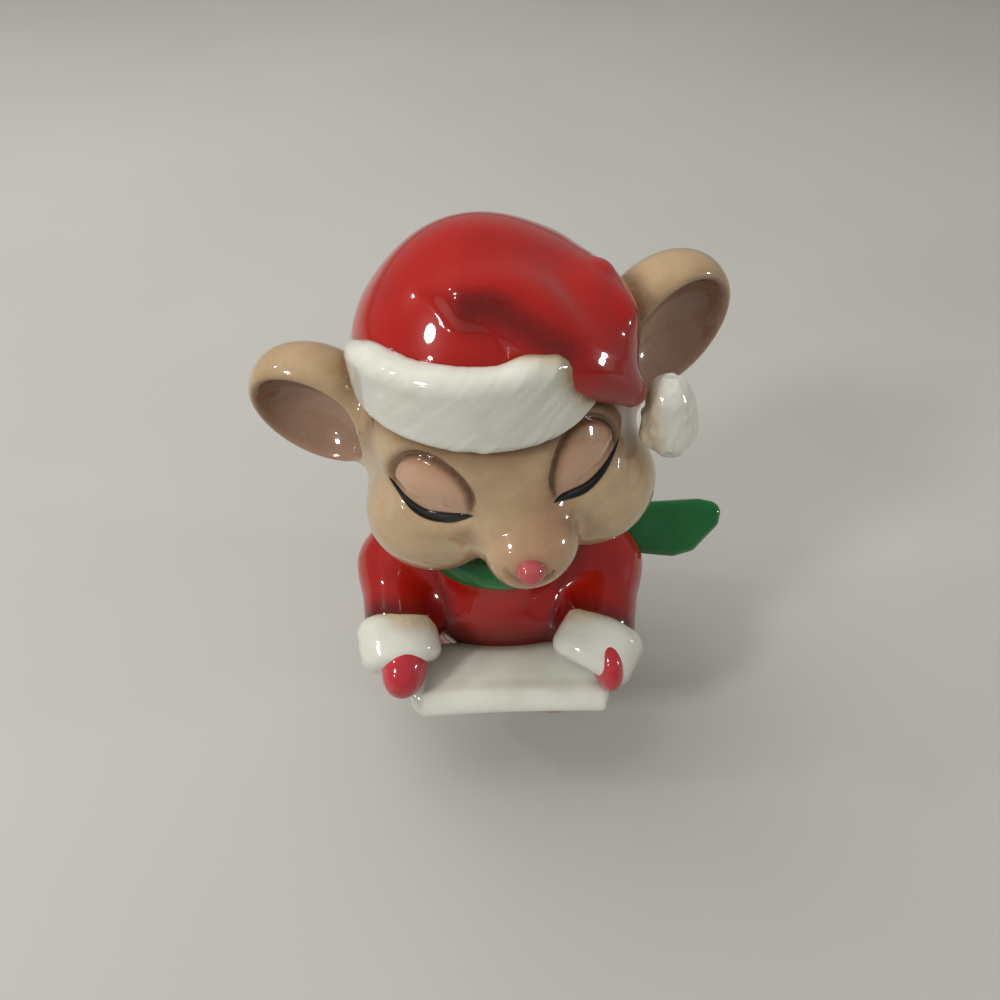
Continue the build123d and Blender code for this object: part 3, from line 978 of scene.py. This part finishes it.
def both_cuffs(p):
    return np.minimum(cuff_field(p, 1), cuff_field(p, -1))


def coat_masks(p, n):
    """Painted shade in darker red: over the sheet, behind the cuffs and under the arms."""
    painted_shade = near(sheet_field(p), 4.5) + 0.8 * near(both_cuffs(p), 2.2) + 0.5 * near(scarf_field(p), 1.2)
    seam = np.abs(torso(p) - np.minimum(arm(p, 1), arm(p, -1)))
    front = step(-4, -9, p[:, 1])
    return {"dark": painted_shade * (0.4 + 0.6 * front) + 0.35 * bell(seam, 1.2) * front}


def crown_masks(p, n):
    """Darker red in the groove and on the drooping point: painted shade, with airbrush in the groove."""
    q = head_local(p)
    off, _ = thread(q, GROOVE, 13)
    groove = bell(np.linalg.norm(off, axis=1), 2.2)
    flap = step(7, 16, q[:, 0]) * step(22, 13, q[:, 2])
    return {"dark": 0.8 * groove + 0.45 * flap * step(6, -2, q[:, 1])}


def band_masks(p, n):
    """Brown and tan where the fur meets the red, grey painted shade there, and brown painted shade on the faces of its
    foot that turn down.
    """
    d = crown_field(p) + 3 * step(-2, 6, p[:, 1])
    # Faces of the foot that turn down get painted shade.
    dark = 0.85 * near(d, 0.45) + 0.9 * step(-0.5, -0.64, n[:, 2])
    return {"dark": dark, "grey": 0.3 * near(d, 2.0), "tan": 0.8 * near(d, 1.3) * step(-6, 2, p[:, 0])}


def pompom_masks(p, n):
    """Painted shade in brown on the side towards the head and the hat, darkest against the head."""
    q = head_local(p)
    tan_shade = 0.75 * step(24.2, 21.2, q[:, 0]) + 0.5 * near(crown_field(p), 1.5)
    return {"tan": tan_shade, "dark": 0.5 * near(skin(p), 1.6)}


def scarf_masks(p, n):
    """Painted shade: dark under the chin and where the scarf lies on the coat."""
    return {"dark": 0.9 * near(skin(p), 3.5) + 0.9 * near(torso(p), 0.8)}


def mitten_masks(p, n):
    """Painted shade: darker where the surface turns down and back, and lower down."""
    return {"dark": step(0.45, -0.25, n[:, 2] - 0.4 * n[:, 1] + 0.25 * (p[:, 2] - 24) / 3)}


def sheet_masks(p, n):
    """Shade where the sheet meets the chest and the cuffs."""
    chest = torso(p)
    return {"dark": 0.85 * near(chest, 1.3), "tan": 0.35 * near(chest, 2.2), "grey": 0.6 * near(both_cuffs(p), 1.3)}


def cuff_masks(p, n):
    """A brown line at the sleeve, and shade over the sheet."""
    sleeves = np.minimum(sleeve_field(p, 1), sleeve_field(p, -1))
    return {"tan": 0.9 * near(sleeves, 0.7), "grey": 0.5 * near(sheet_field(p), 1.8)}


# The pieces: name, shape, the box that holds it, the mesh's grid in millimetres, material, slot and shades


def left_ear_field(p):
    return ear_field(p, 1)


def right_ear_field(p):
    return ear_field(p, -1)


HEAD_HAT_AND_COAT = [
    ("head", head_field, (-26, -34, 42), (26, 20, 88), 0.42, tan, "tan_glaze", head_masks),
    ("left_ear", left_ear_field, (8, -14, 50), (45, 20, 92), 0.42, tan, "tan_glaze", ear_masks(1)),
    ("right_ear", right_ear_field, (-45, -14, 50), (-8, 20, 92), 0.42, tan, "tan_glaze", ear_masks(-1)),
    ("nose", nose_field, (-4, -34, 53), (9, -22, 63), 0.2, pink, "nose_glaze", None),
    ("hat_band", band_field, (-26, -26, 66), (26, 24, 92), 0.36, white, "white_glaze", band_masks),
    ("hat_crown", crown_field, (-24, -24, 68), (28, 24, 97), 0.4, red, "red_glaze", crown_masks),
    ("pompom", pompom_field, (16, -20, 60), (34, -2, 84), 0.25, white, "white_glaze", pompom_masks),
    ("coat", coat_field, (-24, -24, -1), (24, 24, 54), 0.5, red, "red_glaze", coat_masks),
]
# Pieces of each side: as above, with the box's Y and Z alone
LIMBS = [
    ("sleeve", sleeve_field, (-28, 18), (12, 48), 0.42, red, "red_glaze", coat_masks),
    ("cuff", cuff_field, (-32, 16), (-10, 39), 0.3, white, "white_glaze", cuff_masks),
    ("mitten", mitten_field, (-34, 18), (-18, 33), 0.25, mitten, "mitten_glaze", mitten_masks),
    ("foot", foot_field, (-24, -1), (2, 7), 0.35, tan, "tan_glaze", None),
]
LIMB_X = (4, 30)
SHEET_SCARF_AND_FOOT = [
    ("song_sheet", sheet_field, (-18, -34, 14), (22, -11, 30), 0.32, white, "white_glaze", sheet_masks),
    ("scarf_wrap", scarf_field, (-18, -22, 34), (18, 16, 52), 0.36, green, "green_glaze", scarf_masks),
    ("scarf_end", scarf_end_field, (14, -6, 24), (46, 12, 42), 0.3, green, "green_glaze", None),
    ("coat_hem", hem_field, (-23, -23, -1), (23, 23, 9), 0.42, white, "white_glaze", None),
    ("tail", tail_field, (-3, 1, -1), (28, 28, 11), 0.35, tan, "tan_glaze", None),
]

for name, field, low, high, grid, material, slot, masks in HEAD_HAT_AND_COAT:
    piece(name, field, low, high, grid, material, [name], masks)
for side, word in ((1, "left"), (-1, "right")):
    x_low, x_high = sorted(side * x for x in LIMB_X)
    for kind, field, low, high, grid, material, slot, masks in LIMBS:
        name = word + "_" + kind
        low, high = (x_low, *low), (x_high, *high)
        piece(name, lambda p: field(p, side), low, high, grid, material, [name], masks)
for name, field, low, high, grid, material, slot, masks in SHEET_SCARF_AND_FOOT:
    piece(name, field, low, high, grid, material, [name], masks)


LASH_ROUNDS = 8
LASH_HEIGHT = 0.3
LASH_MARGIN = 1.5
LASH_GRID = 0.16


def lash(name, s):
    """The painted lash line of one eye, as a thin raised stroke on the face."""
    place = [(EYE_C + EYE_R @ np.array([u, 0.0, v])) * np.array([s, 1, 1]) for u, v, _ in LASHES[s]]
    world = (np.asarray(HEAD_C) + np.array(place) @ HEAD_R.T).astype(F)
    for _ in range(LASH_ROUNDS):
        world = world - way_to_surface(head_field, world.astype(float), 0.1).astype(F)
    nodes = np.column_stack([world, [w for _, _, w in LASHES[s]]])

    def stroke(p):
        off, width = thread(p, nodes)
        return smax(np.linalg.norm(off, axis=-1) - width, head_field(p) - LASH_HEIGHT, LASH_HEIGHT)

    low, high = world.min(0) - LASH_MARGIN, world.max(0) + LASH_MARGIN
    piece(name, stroke, low, high, LASH_GRID, black, [])


lash("left_lashes", 1)
lash("right_lashes", -1)


# The floor, the light and the camera

FLOOR_HALF = 6
FLOOR_LIGHT = (184, 183, 178)
FLOOR_DARK = (178, 177, 171)
SKY_COLOUR = (1.0, 0.98, 0.94, 1)
SKY_STRENGTH = 0.3
AIM = Vector((0, 0, 0.05))


def floor_material():
    n = Nodes("floor")
    colour = n.mix(n.range(n.noise(6, 3.0), 0.3, 0.7), lin(*FLOOR_LIGHT), lin(*FLOOR_DARK))
    n.link(colour, n.shader.inputs["Base Color"])
    n.shader.inputs["Roughness"].default_value = 0.75
    n.shader.inputs["Specular IOR Level"].default_value = 0.2
    return n.material


mesh = bpy.data.meshes.new("floor")
corners = [(x * FLOOR_HALF, y * FLOOR_HALF, 0) for x, y in ((-1, -1), (1, -1), (1, 1), (-1, 1))]
mesh.from_pydata(corners, [], [(0, 1, 2, 3)])
floor = bpy.data.objects.new("floor", mesh)
mesh.materials.append(floor_material())
collection.objects.link(floor)

scene = bpy.context.scene
world = bpy.data.worlds.new("world")
world.use_nodes = True
sky = world.node_tree.nodes["Background"]
sky.inputs["Color"].default_value = SKY_COLOUR
sky.inputs["Strength"].default_value = SKY_STRENGTH
scene.world = world


def lamp(name, way, distance, size, watts, colour=(1, 1, 1), glint=True):
    """A round lamp that shines at the figure from the direction way; distance and size are in metres."""
    data = bpy.data.lights.new(name, "AREA")
    data.shape = "DISK"
    data.size = size
    data.energy = watts
    data.color = colour
    o = bpy.data.objects.new(name, data)
    at = AIM + Vector(way).normalized() * distance
    o.location = at
    o.rotation_euler = (AIM - at).to_track_quat("-Z", "Y").to_euler()
    o.visible_glossy = glint
    collection.objects.link(o)


lamp("key", (-0.38, 0.32, 0.9), 0.65, 0.62, 2.75, (1.0, 0.985, 0.96), glint=False)
lamp("fill", (0.25, -0.7, 0.8), 1.2, 1.2, 1.8, (0.97, 0.98, 1.0), glint=False)
lamp("window_high", (-0.67, -0.45, 0.59), 0.7, 0.11, 1.5)
lamp("window_low", (-0.67, -0.62, 0.42), 0.7, 0.04, 0.3)
lamp("window_side", (-0.8, 0.05, 0.6), 0.7, 0.05, 0.4)
lamp("spark_right", (0.95, -0.14, 0.2), 0.7, 0.07, 0.7)

# The camera that fits the photograph
SENSOR_WIDTH = 36
FOCAL_SHARE = 0.751
ELEVATION = math.radians(48)
LOOK_AT = Vector((0, 0, 0.0415))
CAMERA_DISTANCE = 0.138

camera = bpy.data.objects.new("camera", bpy.data.cameras.new("camera"))
camera.data.sensor_width = SENSOR_WIDTH
camera.data.lens = SENSOR_WIDTH * FOCAL_SHARE
forward = Vector((0, math.cos(ELEVATION), -math.sin(ELEVATION)))
camera.location = LOOK_AT - forward * CAMERA_DISTANCE
camera.rotation_euler = forward.to_track_quat("-Z", "Y").to_euler()
camera.data.clip_start = 0.01
collection.objects.link(camera)
scene.camera = camera
scene.view_settings.view_transform = "Standard"
